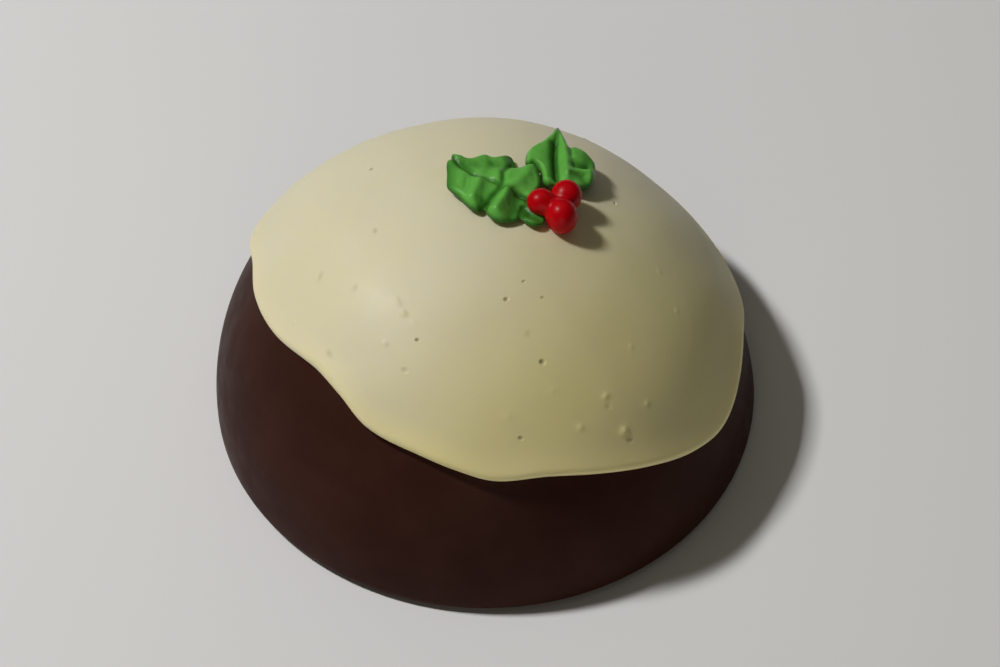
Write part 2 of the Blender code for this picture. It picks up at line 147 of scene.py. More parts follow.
LEAF_RIGHT = {
    "middle": (19.0, 21.0),
    "outline": (
        (29.9, 21.6), (29.8, 24.8), (28.4, 27.4), (26.4, 29.0), (24.4, 29.5), (23.1, 29.2),
        (22.3, 31.3), (21.3, 34.4), (20.5, 37.5), (20.1, 38.2), (19.6, 37.5), (18.3, 34.6),
        (16.8, 32.2), (15.4, 29.8), (13.6, 28.0), (12.2, 26.4), (11.4, 24.4), (11.0, 22.2),
        (11.1, 20.2), (12.0, 19.6), (13.4, 19.75), (14.4, 19.0), (15.0, 17.6), (15.4, 15.6),
        (15.65, 13.4), (16.8, 12.2), (18.6, 12.2), (21.0, 12.4), (24.0, 12.4), (26.8, 13.3),
        (28.4, 14.9), (29.5, 17.3), (29.9, 19.5),
    ),
    "vein": ((20.3, 37.6), (19.8, 32.4), (19.1, 27.8), (18.9, 21.6), (19.2, 13.6)),
    "folds": (
        (((15.6, 13.6), (14.6, 18.4), (14.2, 23.0), (16.4, 28.0)), 2.6, 0.4),
        (((22.2, 14.6), (22.4, 21.6), (21.9, 27.8), (20.9, 34.6)), 1.3, 0.7),
        (((22.6, 17.0), (24.6, 18.0), (28.6, 19.2)), 1.1, 0.6),
        (((18.9, 29.5), (18.7, 23.8), (19.0, 14.8)), 1.1, -1.0),
        (((24.4, 21.0), (27.6, 21.3)), 1.1, -0.8),
        (((28.8, 25.4), (28.2, 22.4)), 2.4, -0.9),
        (((26.4, 16.8), (28.0, 13.8)), 1.8, -0.8),
        (((23.5, 24.4), (23.2, 29.2)), 0.7, -0.35),
    ),
}

# Berries: centre, then half width, half depth and half height, in millimetres.
BERRIES = {
    "left": ((14.9, 3.0, 77.7), (3.8, 3.6, 3.6)),
    "back": ((21.8, 7.6, 74.9), (4.2, 4.2, 4.4)),
    "front": ((20.4, -0.5, 75.8), (4.25, 4.6, 5.0)),
}
# Where two berries meet, they run together softly over about this length, and lap over each
# other by the second one, so that no gap shows between them.
BERRY_MEET = 0.7
BERRY_LAP = 0.4
# A berry's skin is looked for up to this far from its centre, by halving the span each time.
BERRY_LONGEST = 8.0
HALVINGS = 24

# Fineness of the meshes. A ring of the dome or the icing has at least this many sides for
# each ring that it lies out from the middle, up to the rim's own number.

RIM_SIDES = 768
SHEET_DENSITY = 4.0
ICING_RINGS = 112
LINING_RINGS = 24
DOME_RINGS = 120
LIP_STEPS = 16
BASE_STEPS = 8
LEAF_SPOKES = 480
LEAF_RINGS = 56
BERRY_SIDES = 144
BERRY_RINGS = 96
# Above 1, a leaf's rings lie closer together towards its edge.
LEAF_CROWDING = 1.5
# Round each mark in the icing, the mesh is split in two again and again, each time over a
# smaller share of the distance.
REFINEMENTS = 3
REFINED_FOR = 2.2 * MM
REFINED_LESS = 0.2

# Marks in the icing: azimuth and polar angle in degrees; half length along the azimuth, half
# width and height (less than 0 is a hollow) in millimetres; turn in degrees; how steep the
# sides are, 2 for a soft swell and more for a sharp wall.
MARKS = (
    # Pinholes where an air bubble has burst.
    (-111.4, 28.6, 0.50, 0.45, -0.38, 0, 3),
    (-68.2, 20.1, 0.62, 0.50, -0.32, 0, 3),
    (-64.5, 34.0, 0.70, 0.66, -0.40, 0, 3),
    (136.8, 27.9, 0.62, 0.40, -0.50, 0, 3),
    (21.4, 33.0, 0.40, 0.34, -0.65, 0, 3),
    (-77.6, 47.1, 0.62, 0.52, -0.28, 40, 3),
    (-50.0, 22.8, 0.50, 0.34, -0.14, 0, 3),
    (-53.0, 18.2, 0.60, 0.32, -0.12, 0, 3),
    # Dents.
    (-164.6, 32.2, 1.2, 0.8, -0.42, 50, 2),
    (-176.4, 18.2, 1.0, 0.6, -0.30, 20, 2),
    (-138.6, 39.7, 1.2, 0.7, -0.22, 30, 2),
    (-112.5, 35.0, 0.8, 0.6, -0.22, 0, 2),
    (-149.0, 26.6, 1.0, 0.7, -0.14, 60, 2),
    (-65.0, 28.0, 0.8, 0.8, -0.12, 0, 2),
    # Swells over small bubbles, the largest beside a dent.
    (-51.2, 53.3, 1.3, 1.1, 0.50, 0, 2),
    (-50.8, 55.6, 0.9, 0.8, -0.26, 0, 2),
    (-51.2, 45.4, 1.1, 0.9, 0.28, 0, 2),
    (-52.0, 47.4, 0.8, 0.7, -0.12, 0, 2),
    (-61.5, 48.5, 1.1, 1.0, 0.22, 0, 2),
    (-80.0, 42.5, 1.2, 1.1, 0.16, 0, 2),
    (-65.0, 39.8, 1.2, 1.0, 0.12, 0, 2),
    (-156.6, 41.6, 0.7, 0.7, 0.22, 0, 2),
    (-41.9, 51.8, 0.9, 0.8, 0.20, 0, 2),
    (-35.0, 41.4, 0.9, 0.8, 0.14, 0, 2),
    (-14.0, 46.4, 0.9, 0.8, 0.16, 0, 2),
    (-4.4, 40.6, 0.9, 0.8, 0.14, 0, 2),
    # Soft raised flecks.
    (-121.5, 24.6, 1.1, 0.8, 0.30, 20, 2),
    (-127.0, 23.2, 1.4, 0.8, 0.22, 30, 2),
    (-114.5, 25.8, 1.2, 0.7, 0.10, 10, 2),
    (-123.0, 31.5, 1.0, 0.8, 0.24, 0, 2),
    # The hidden back has a few of each.
    (74.0, 56.0, 0.50, 0.40, -0.45, 0, 3),
    (108.0, 57.5, 0.48, 0.44, -0.40, 20, 3),
    (96.0, 59.0, 1.0, 0.7, -0.18, 40, 2),
    (120.0, 56.0, 1.1, 0.9, 0.26, 0, 2),
    (62.0, 57.0, 1.2, 1.0, 0.24, 0, 2),
    (84.0, 54.5, 0.9, 0.8, 0.16, 0, 2),
)
# A hollow's raised rim: its share of the depth, and its place and width in the mark's own size.
RIM_SHARE = 0.05
RIM_PLACE = 1.6
RIM_WIDTH = 0.5
# Marks steeper than this are pinholes, and dents get less of the painted shade than they do.
SOFT = 2
DENT_SHADE = 0.3
# Farther off than this, in its own size, a mark has no effect.
FAR_OFF = 6.0

# Low waves in the poured icing: how many, the shortest and longest wavelength, the height.
SWELLS = 14
SWELL_LENGTHS = (16.0 * MM, 48.0 * MM)
SWELL_HEIGHT = 0.05 * MM
SWELL_SEED = 12

# How far the painted shade, a darker green along a leaf's vein, reaches, in millimetres.
VEIN_SHADE = 0.8

# Camera and light. The camera stands where the photo's did, and looks straight at the pudding.
CAMERA_DISTANCE = 1.055
CAMERA_ELEVATION = radians(51.74)
CAMERA_AIM = (0.004, 0.0, 0.026)
CAMERA_LENS = 135.0
KEY_AZIMUTH = radians(170)
KEY_ELEVATION = radians(57)
KEY_DISTANCE = 1.6
KEY_SIZE = 0.17
KEY_POWER = 16.8
KEY_COLOUR = (1.0, 0.985, 0.96)
FILL_AZIMUTH = radians(268)
FILL_ELEVATION = radians(14)
FILL_DISTANCE = 1.6
FILL_SIZE = 0.9
FILL_POWER = 3.0
FILL_COLOUR = (1.0, 0.92, 0.74)
TOP_PLACE = (0.15, 0.5, 1.2)
TOP_SIZE = 1.6
TOP_POWER = 1.5
TOP_COLOUR = (1.0, 0.95, 0.8)
# The camera sees the plain backdrop at full strength, but it lights the pudding only a little.
WORLD_COLOUR = (0.80, 0.80, 0.81)
WORLD_FILL = 0.01
FLOOR_SIZE = 40.0
FLOOR_COLOUR = (0.86, 0.86, 0.87, 1.0)


def dome_point(azimuth, polar, offset):
    """Points on the dome grown by offset; polar is 0 at the top and pi / 2 at the base."""
    waves = sum(depth * np.cos(count * (azimuth - peak)) for count, depth, peak in DOME_WAVES)
    reach = (DOME_RADIUS + offset) * (1 + waves) * np.sin(polar)
    x = AXIS_X + TOP_LEAN * np.cos(polar) + reach * np.cos(azimuth)
    y = AXIS_Y + reach * np.sin(azimuth)
    z = (DOME_HEIGHT + offset) * np.cos(polar)
    return np.stack(np.broadcast_arrays(x, y, z), axis=-1)


def dome_height(x, y, offset):
    """Height of the dome grown by offset above the points (x, y)."""
    rise = np.ones(np.broadcast(x, y).shape)
    for _ in range(HEIGHT_STEPS):
        across = x - AXIS_X - TOP_LEAN * rise
        along = y - AXIS_Y
        azimuth = np.arctan2(along, across)
        waves = sum(depth * np.cos(count * (azimuth - peak))
                    for count, depth, peak in DOME_WAVES)
        share = np.hypot(across, along) / ((DOME_RADIUS + offset) * (1 + waves))
        rise = np.sqrt(np.maximum(0.0, 1 - share * share))
    return (DOME_HEIGHT + offset) * rise


def icing_reach(azimuth):
    """How far the icing runs down at each azimuth: a smooth closed curve through its points."""
    degrees, reaches = (np.array(column, float) for column in zip(*ICING_REACH))
    count = len(degrees)
    x = np.concatenate((degrees[-2:] - 360, degrees, degrees[:3] + 360))
    y = np.concatenate((reaches[-2:], reaches, reaches[:3]))
    angle = (np.degrees(azimuth) - degrees[0]) % 360 + degrees[0]
    first = np.clip(np.searchsorted(x, angle, side="right") - 1, 2, count + 1)
    x0, x1, x2, x3 = (x[first + step] for step in (-1, 0, 1, 2))
    y0, y1, y2, y3 = (y[first + step] for step in (-1, 0, 1, 2))
    span = x2 - x1
    t = (angle - x1) / span
    slope1 = (y2 - y0) / (x2 - x0) * span
    slope2 = (y3 - y1) / (x3 - x1) * span
    start = (2 * t ** 3 - 3 * t ** 2 + 1) * y1 + (t ** 3 - 2 * t ** 2 + t) * slope1
    end = (3 * t ** 2 - 2 * t ** 3) * y2 + (t ** 3 - t ** 2) * slope2
    return (start + end) * MM


def icing_depth(azimuth, run):
    """Thickness of the icing at a distance up from its edge, with the bead along the edge."""
    reach = icing_reach(azimuth)
    far = np.clip((reach - RUN_FAR[0]) / (RUN_FAR[1] - RUN_FAR[0]), 0, 1)
    bead = BEAD_DEPTH[0] + (BEAD_DEPTH[1] - BEAD_DEPTH[0]) * far
    thinner = THINNING * far * (1 - run / reach)
    return ICING_DEPTH - thinner + bead * np.exp(-(run / BEAD_RUN) ** 2)


def icing_point(azimuth, run, height):
    """Points of the icing at a distance up from its edge and a height over the dome."""
    polar = (icing_reach(azimuth) - run) / DOME_RADIUS
    return dome_point(azimuth, polar, GAP + height)


def on_ball(azimuth, polar):
    """Points of a plain ball of the dome's radius, to measure distances and waves on."""
    return DOME_RADIUS * np.stack((np.sin(polar) * np.cos(azimuth),
                                   np.sin(polar) * np.sin(azimuth), np.cos(polar)), axis=-1)


def mark_distances(azimuth, polar):
    """For each mark its height, its steepness, and how far off it the points are, measured in
    its own size."""
    for mark_azimuth, mark_polar, long, wide, height, turn, steep in MARKS:
        middle_polar = radians(mark_polar)
        across = (azimuth - radians(mark_azimuth) + pi) % (2 * pi) - pi
        across = across * sin(middle_polar) * DOME_RADIUS
        down = (polar - middle_polar) * DOME_RADIUS
        first = (across * cos(radians(turn)) + down * sin(radians(turn))) / (long * MM)
        second = (down * cos(radians(turn)) - across * sin(radians(turn))) / (wide * MM)
        yield height, steep, np.minimum(np.hypot(first, second), FAR_OFF)


def icing_relief(azimuth, polar):
    """Height of the marks and the low waves in the icing."""
    draw = np.random.default_rng(SWELL_SEED)
    ball = on_ball(azimuth, polar)
    total = np.zeros(ball.shape[:-1])
    for _ in range(SWELLS):
        heading = draw.normal(size=3)
        heading /= np.linalg.norm(heading)
        length = draw.uniform(*SWELL_LENGTHS)
        total += SWELL_HEIGHT * np.sin(2 * pi * (ball @ heading) / length
                                       + draw.uniform(0, 2 * pi))
    for height, steep, away in mark_distances(azimuth, polar):
        shape = height * np.exp(-away ** steep)
        if height < 0:
            shape -= height * RIM_SHARE * np.exp(-((away - RIM_PLACE) / RIM_WIDTH) ** 2)
        total += shape * MM
    return total


def hole_shade(azimuth, polar):
    """How much painted shade each point gets in a pinhole or, counting for less, in a dent, from 0
    to 1.
    """
    depths = [(1.0 if steep > SOFT else DENT_SHADE) * np.exp(-away ** steep)
              for height, steep, away in mark_distances(azimuth, polar) if height < 0]
    return np.maximum.reduce(depths)


def sprig_floor(x, y):
    """The underside of the holly: a nearly flat sheet laid against the icing."""
    step = 0.1 * MM
    offset = GAP + ICING_DEPTH

    def icing(u, v):
        return dome_height(u, v, offset)

    slope_x = (icing(SPRIG_X + step, SPRIG_Y) - icing(SPRIG_X - step, SPRIG_Y)) / (2 * step)
    slope_y = (icing(SPRIG_X, SPRIG_Y + step) - icing(SPRIG_X, SPRIG_Y - step)) / (2 * step)
    plate = icing(SPRIG_X, SPRIG_Y) + slope_x * (x - SPRIG_X) + slope_y * (y - SPRIG_Y)
    surface = icing(x, y)
    return surface + GAP + SPRIG_FLATNESS * (plate - surface)


def nearest(x, y, start, end):
    """Distance from the points (x, y) to the straight line from start to end."""
    dx, dy = end[0] - start[0], end[1] - start[1]
    share = np.clip(((x - start[0]) * dx + (y - start[1]) * dy) / (dx * dx + dy * dy), 0, 1)
    return np.hypot(x - start[0] - share * dx, y - start[1] - share * dy)


def off_line(x, y, line):
    """Distance from the points (x, y) to a line through several points."""
    return np.minimum.reduce([nearest(x, y, *ends) for ends in zip(line, line[1:])])


def outline_curve(leaf):
    """Points of a leaf's outline: a smooth closed curve that turns fast where points are near."""
    point = np.array(leaf["outline"])
    before, after, beyond = (np.roll(point, shift, axis=0) for shift in (1, -1, -2))

    def stride(start, end):
        return np.sqrt(np.linalg.norm(end - start, axis=1, keepdims=True))

    first, second, third = stride(before, point), stride(point, after), stride(after, beyond)
    leave = after - point + second * ((point - before) / first
                                      - (after - before) / (first + second))
    arrive = after - point + second * ((beyond - after) / third
                                       - (beyond - point) / (second + third))
    t = np.arange(CURVE_STEPS)[:, None, None] / CURVE_STEPS
    curve = ((2 * t ** 3 - 3 * t ** 2 + 1) * point + (t ** 3 - 2 * t ** 2 + t) * leave
             + (3 * t ** 2 - 2 * t ** 3) * after + (t ** 3 - t ** 2) * arrive)
    return curve.transpose(1, 0, 2).reshape(-1, 2)


def leaf_radius(leaf, angles):
    """Distance in millimetres from the leaf's middle to its outline at each angle."""
    away = outline_curve(leaf) - leaf["middle"]
    turn = np.arctan2(away[:, 1], away[:, 0])
    order = np.argsort(turn)
    return np.interp(angles, turn[order], np.hypot(*away[order].T), period=2 * pi)


def leaf_height(leaf, x, y):
    """Height of a leaf over its rim at (x, y) in millimetres; 0 outside its outline."""
    middle_x, middle_y = leaf["middle"]
    reach = leaf_radius(leaf, np.arctan2(y - middle_y, x - middle_x))
    inside = np.hypot(x - middle_x, y - middle_y) < reach
    outline = outline_curve(leaf)
    from_edge = np.minimum.reduce([np.hypot(x - u, y - v) for u, v in outline])
    edge = np.sqrt(1 - (1 - np.minimum(from_edge / LEAF_ROUND, 1)) ** 2)
    top = np.full(np.shape(x), LEAF_RISE)
    for line, width, height in leaf["folds"]:
        top += FOLD_SHARE * height * np.exp(-(off_line(x, y, line) / width) ** 2)
    off_vein = off_line(x, y, leaf["vein"])
    for width, depth in VEINS:
        top -= depth * np.exp(-(off_vein / width) ** 2)
    return np.where(inside, np.maximum(top, LEAF_LOWEST) * edge, 0.0)


def ring_sides(rings, last, density):
    """Sides of each ring of a disc, from the middle out: the last has the given number, and
    inner ones have half as many each time that is enough for their length."""
    sides = [last]
    for ring in range(rings - 1, 0, -1):
        half = sides[0] // 2
        sides.insert(0, half if half >= density * ring else sides[0])
    return sides


def band_faces(inner, outer, inner_sides, outer_sides):
    """Triangles between two rings, given by the index of their first point. The outer ring
    has as many points as the inner one, or twice as many."""
    near = np.arange(inner_sides)
    beside = (near + 1) % inner_sides
    if outer_sides == inner_sides:
        return np.concatenate((
            np.stack((inner + near, outer + near, outer + beside), axis=1),
            np.stack((inner + near, outer + beside, inner + beside), axis=1),
        ))
    here, between, there = 2 * near, 2 * near + 1, (2 * near + 2) % outer_sides
    return np.concatenate((
        np.stack((inner + near, outer + here, outer + between), axis=1),
        np.stack((inner + near, outer + between, inner + beside), axis=1),
        np.stack((inner + beside, outer + between, outer + there), axis=1),
    ))


def disc(sides):
    """A flat disc of rings round a middle point: the azimuth and the share of the way out of
    each point, its triangles, and the index of the last ring's first point."""
    azimuths, shares, faces = [np.zeros(1)], [np.zeros(1)], []
    start, before = 1, 0
    for ring, count in enumerate(sides, 1):
        azimuths.append(2 * pi * np.arange(count) / count)
        shares.append(np.full(count, ring / len(sides)))
        if ring == 1:
            near = np.arange(count)
            middle = np.zeros(count, int)
            faces.append(np.stack((middle, start + near, start + (near + 1) % count), axis=1))
        else:
            faces.append(band_faces(start - before, start, before, count))
        start, before = start + count, count
    return (np.concatenate(azimuths), np.concatenate(shares), np.concatenate(faces),
            start - before)


def make_piece(name, points, faces, material, replaced):
    """A smooth closed mesh that rides on the pudding and stands for the node replaced."""
    mesh = bpy.data.meshes.new(name)
    mesh.from_pydata(points.tolist(), [], faces.tolist())
    mesh.validate()
    mesh.shade_smooth()
    mesh.materials.append(material)
    piece = bpy.data.objects.new(name, mesh)
    bpy.context.scene.collection.objects.link(piece)
    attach(piece, "root")
    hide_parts(replaced)
    return piece


def add_attribute(piece, name, values):
    """A value at each point of a piece, for its material to read."""
    attribute = piece.data.attributes.new(name, "FLOAT", "POINT")
    attribute.data.foreach_set("value", np.asarray(values, np.float32))


def refine(azimuth, polar, faces, spots):
    """Splits the triangles near the spots several times over, so that small marks are round."""
    flat = np.stack((polar * np.cos(azimuth), polar * np.sin(azimuth), np.zeros(len(polar))),
                    axis=1)
    mesh = bpy.data.meshes.new("flat")
    mesh.from_pydata(flat.tolist(), [], faces.tolist())
    shape = bmesh.new()
    shape.from_mesh(mesh)
    bpy.data.meshes.remove(mesh)
    for level in range(REFINEMENTS):
        where = np.array([point.co for point in shape.verts])
        ball = on_ball(np.arctan2(where[:, 1], where[:, 0]), np.hypot(where[:, 0], where[:, 1]))
        reach = REFINED_FOR * (1 - REFINED_LESS * level)
        near = np.zeros(len(where), bool)
        for spot in spots:
            near |= np.linalg.norm(ball - spot, axis=1) < reach
        edges = [edge for edge in shape.edges
                 if near[edge.verts[0].index] and near[edge.verts[1].index]]
        bmesh.ops.subdivide_edges(shape, edges=edges, cuts=1)
        bmesh.ops.triangulate(shape, faces=[face for face in shape.faces if len(face.verts) > 3])
        shape.verts.index_update()
    where = np.array([point.co for point in shape.verts])
    faces = np.array([[point.index for point in face.verts] for face in shape.faces])
    shape.free()
    return np.arctan2(where[:, 1], where[:, 0]), np.hypot(where[:, 0], where[:, 1]), faces


def make_coat(material):
    """The pudding in its chocolate coat: the dome, its rounded lower edge and its flat base."""
    sides = ring_sides(DOME_RINGS, RIM_SIDES, SHEET_DENSITY)
    azimuth, share, faces, rim = disc(sides)
    edge = pi / 2 - BASE_ROUND / DOME_HEIGHT
    parts = [dome_point(azimuth, edge * share, 0.0)]
    faces = [faces]
    around = 2 * pi * np.arange(RIM_SIDES) / RIM_SIDES
    count = len(azimuth)
    for step in range(1, BASE_STEPS + 1):
        turn = pi / 2 * step / BASE_STEPS
        points = dome_point(around, edge, -BASE_ROUND * (1 - cos(turn)))
        points[:, 2] = BASE_ROUND * (1 - sin(turn))
        parts.append(points)
        faces.append(band_faces(rim, count, RIM_SIDES, RIM_SIDES))
        rim, count = count, count + RIM_SIDES
    parts.append(np.array([[AXIS_X, AXIS_Y, 0.0]]))
    near = np.arange(RIM_SIDES)
    middle = np.full(RIM_SIDES, count)
    faces.append(np.stack((middle, rim + (near + 1) % RIM_SIDES, rim + near), axis=1))
    make_piece("chocolate_coat", np.concatenate(parts), np.concatenate(faces), material,
               "pudding")


def make_icing(material):
    """The poured icing: its top with the marks, the rolled lip, and its underside."""
    sides = ring_sides(ICING_RINGS, RIM_SIDES, SHEET_DENSITY)
    azimuth, share, faces, rim = disc(sides)
    polar = share * (icing_reach(azimuth) - LIP_RUN) / DOME_RADIUS
    spots = [on_ball(radians(mark[0]), radians(mark[1])) for mark in MARKS]
    azimuth, polar, faces = refine(azimuth, polar, faces, spots)
    # The painted shade in the pinholes and dents, for the material.
    painted_hole_shade = hole_shade(azimuth, polar)
    run = icing_reach(azimuth) - polar * DOME_RADIUS
    height = icing_depth(azimuth, run) + icing_relief(azimuth, polar)
    parts = [dome_point(azimuth, polar, GAP + height)]
    runs = [run]
    faces = [faces]
    around = 2 * pi * np.arange(RIM_SIDES) / RIM_SIDES
    swell = icing_relief(around, (icing_reach(around) - LIP_RUN) / DOME_RADIUS)
    count = len(azimuth)
    for step in range(1, LIP_STEPS):
        angle = pi / 2 - pi * step / LIP_STEPS
        if angle < 0:
            run = np.full(RIM_SIDES, LIP_UNDER * (1 - cos(angle)))
            height = LIP_HEIGHT * (1 + sin(angle))
        else:
            run = np.full(RIM_SIDES, LIP_RUN * (1 - cos(angle)))
            height = LIP_HEIGHT + (icing_depth(around, run) + swell - LIP_HEIGHT) * sin(angle)
        parts.append(icing_point(around, run, height))
        runs.append(run)
        faces.append(band_faces(rim, count, RIM_SIDES, RIM_SIDES))
        rim, count = count, count + RIM_SIDES
    azimuth, share, lining, lining_rim = disc(ring_sides(LINING_RINGS, RIM_SIDES, SHEET_DENSITY))
    run = icing_reach(azimuth) * (1 - share) + LIP_UNDER * share
    parts.append(icing_point(azimuth, run, 0.0))
    runs.append(run)
    faces.append(band_faces(rim, count + lining_rim, RIM_SIDES, RIM_SIDES))
    faces.append(lining[:, ::-1] + count)
    points = np.concatenate(parts)
    piece = make_piece("poured_icing", points, np.concatenate(faces), material, "icing")
    add_attribute(piece, "from_edge", np.concatenate(runs) / MM)
    add_attribute(piece, "hole_painted_shade", np.pad(painted_hole_shade, (0, len(points) - len(painted_hole_shade))))


def make_leaf(name, leaf, material, replaced):
    """A piped holly leaf: puffy ridges and furrows on top, nearly flat below."""
    middle_x, middle_y = leaf["middle"]
    azimuth, share, cells, rim = disc([LEAF_SPOKES] * LEAF_RINGS)
    share = 1 - (1 - share) ** LEAF_CROWDING
    radius = leaf_radius(leaf, azimuth) * share
    x = middle_x + radius * np.cos(azimuth)
    y = middle_y + radius * np.sin(azimuth)
    floor = sprig_floor(x * MM, y * MM)
    raised = leaf_height(leaf, x, y)
    top = np.stack((x * MM, y * MM, floor + LEAF_EDGE + raised * MM), axis=1)
    top[rim:, 2] = floor[rim:] + LEAF_EDGE
    under = LEAF_EDGE * np.maximum(0.0, share - LEAF_TURN) / (1 - LEAF_TURN)
    bottom = np.stack((x * MM, y * MM, floor + under), axis=1)[:rim]
    count = len(top)
    lower = cells[:, ::-1] + count
    lower = np.where(lower >= count + rim, lower - count, lower)
    piece = make_piece(name, np.concatenate((top, bottom)), np.concatenate((cells, lower)),
                       material, replaced)
    # The height and the vein value carry painted shade for the material, in the furrows and along
    # the vein.
    vein = np.exp(-(off_line(x, y, leaf["vein"]) / VEIN_SHADE) ** 2)
    add_attribute(piece, "raised", np.pad(raised, (0, rim)))
    add_attribute(piece, "vein", np.concatenate((vein, vein[:rim])))


def support(x, y):
    """Height that a berry stands on at (x, y): the left leaf where it lies, else the icing."""
    raised = leaf_height(LEAF_LEFT, x / MM, y / MM) * MM
    on_leaf = sprig_floor(x, y) + LEAF_EDGE + raised + GAP
    on_icing = dome_height(x, y, GAP + ICING_DEPTH) + GAP
    return np.where(raised > 0, on_leaf, on_icing)


def off_berry(berry, points):
    """Roughly the distance in millimetres from the points to a berry's skin, less than 0 in it."""
    centre, half_size = BERRIES[berry]
    away = (points - np.array(centre)) / np.array(half_size)
    return (np.linalg.norm(away, axis=-1) - 1) * min(half_size)


def outside_berry(berry, points):
    """Above 0 outside a berry where it runs together with the others, and below 0 in it."""
    own = off_berry(berry, points)
    others = [off_berry(other, points) for other in BERRIES if other != berry]
    joined = -BERRY_MEET * np.log(sum(np.exp(-away / BERRY_MEET) for away in [own, *others]))
    return np.maximum.reduce([joined, *((own - away - BERRY_LAP) / 2 for away in others)])


def make_berry(berry, material):
    """A piped drop with a rounded top, run together with the other berries where they meet
    and flattened below where it stands."""
    centre = np.array(BERRIES[berry][0])
    polar = pi * np.arange(BERRY_RINGS + 1) / BERRY_RINGS
    around = 2 * pi * np.arange(BERRY_SIDES) / BERRY_SIDES
    polar, around = (grid.ravel() for grid in np.meshgrid(polar, around, indexing="ij"))
    poles = slice(BERRY_SIDES - 1, 1 - BERRY_SIDES)
    polar, around = polar[poles], around[poles]
    heading = np.stack((np.sin(polar) * np.cos(around), np.sin(polar) * np.sin(around),
                        np.cos(polar)), axis=1)
    near, far = np.zeros(len(polar)), np.full(len(polar), BERRY_LONGEST)
    for _ in range(HALVINGS):
        reach = (near + far) / 2
        outside = outside_berry(berry, centre + heading * reach[:, None]) > 0
        near, far = np.where(outside, near, reach), np.where(outside, reach, far)
    points = (centre + heading * near[:, None]) * MM
    points[:, 2] = np.maximum(points[:, 2], support(points[:, 0], points[:, 1]))
    near = np.arange(BERRY_SIDES)
    beside = (near + 1) % BERRY_SIDES
    last = 1 + (BERRY_RINGS - 2) * BERRY_SIDES
    end = np.full(BERRY_SIDES, last + BERRY_SIDES)
    faces = [np.stack((np.zeros(BERRY_SIDES, int), 1 + near, 1 + beside), axis=1)]
    for ring in range(BERRY_RINGS - 2):
        start = 1 + ring * BERRY_SIDES
        faces.append(band_faces(start, start + BERRY_SIDES, BERRY_SIDES, BERRY_SIDES))
    faces.append(np.stack((end, last + beside, last + near), axis=1))
    make_piece("holly_berry_" + berry, points, np.concatenate(faces), material,
               "berry_" + berry)


class Nodes:
    """A material's node tree, with short ways to add and link its nodes."""

    def __init__(self, name):
        self.material = bpy.data.materials.new(name)
        self.material.use_nodes = True
        self.tree = self.material.node_tree
        self.shader = self.tree.nodes["Principled BSDF"]

    def add(self, kind, settings=None, **inputs):
        """A node with its settings and inputs: a value, or a socket to link from."""
        made = self.tree.nodes.new("ShaderNode" + kind)
        for key, value in (settings or {}).items():
            setattr(made, key, value)
        for key, value in inputs.items():
            self.put(made.inputs[key.replace("_", " ")], value)
        return made

    def put(self, socket, value):
        """Gives a socket a value, or links it to another node's output."""
        if isinstance(value, bpy.types.NodeSocket):
            self.tree.links.new(value, socket)
        else:
            socket.default_value = value

    def set(self, **inputs):
        """Values and links of the Principled shader itself."""
        for key, value in inputs.items():
            self.put(self.shader.inputs[key.replace("_", " ")], value)

    def noise(self, scale, detail):
        """Noise in the piece's own coordinates, in metres, from 0 to 1."""
        place = self.add("TexCoord").outputs["Object"]
        return self.add("TexNoise", Vector=place, Scale=scale, Detail=detail).outputs["Fac"]

    def value(self, attribute):
        """A value that the piece's points carry."""
        return self.add("Attribute", {"attribute_name": attribute}).outputs["Fac"]

    def remap(self, value, low, high, to_low, to_high):
        """Brings a value from one range into another, held within it."""
        made = self.add("MapRange", {"interpolation_type": "SMOOTHSTEP"}, Value=value)
        for key, number in (("From Min", low), ("From Max", high),
                            ("To Min", to_low), ("To Max", to_high)):
            made.inputs[key].default_value = number
        return made.outputs["Result"]

    def mix(self, share, first, second):
        """A colour between two colours."""
        made = self.add("Mix", {"data_type": "RGBA"})
        self.put(made.inputs["Factor"], share)
        colours = [socket for socket in made.inputs if socket.type == "RGBA"]
        for socket, colour in zip(colours, (first, second)):
            self.put(socket, (*colour, 1.0) if isinstance(colour, tuple) else colour)
        return [socket for socket in made.outputs if socket.type == "RGBA"][0]

    def bump(self, height, distance, strength, below=None):
        """Fine relief, on top of the relief below if there is one."""
        made = self.add("Bump", Strength=strength, Distance=distance, Height=height)
        if below is not None:
            self.put(made.inputs["Normal"], below)
        return made.outputs["Normal"]


def chocolate():
    """Satin dark chocolate with a faint bloom and low unevenness."""
    nodes = Nodes("dark_chocolate")
    bloom = nodes.remap(nodes.noise(55.0, 4.0), 0.35, 0.7, 0.0, 1.0)
    nodes.set(Base_Color=nodes.mix(bloom, (0.040, 0.0135, 0.0095), (0.050, 0.0180, 0.0130)))
    nodes.set(Roughness=nodes.remap(nodes.noise(140.0, 3.0), 0.3, 0.7, 0.40, 0.50),
              Specular_IOR_Level=0.04)
    wave = nodes.bump(nodes.noise(60.0, 2.0), 0.0012, 0.5)
    nodes.set(Normal=nodes.bump(nodes.noise(900.0, 3.0), 0.00006, 0.5, wave))
    return nodes.material


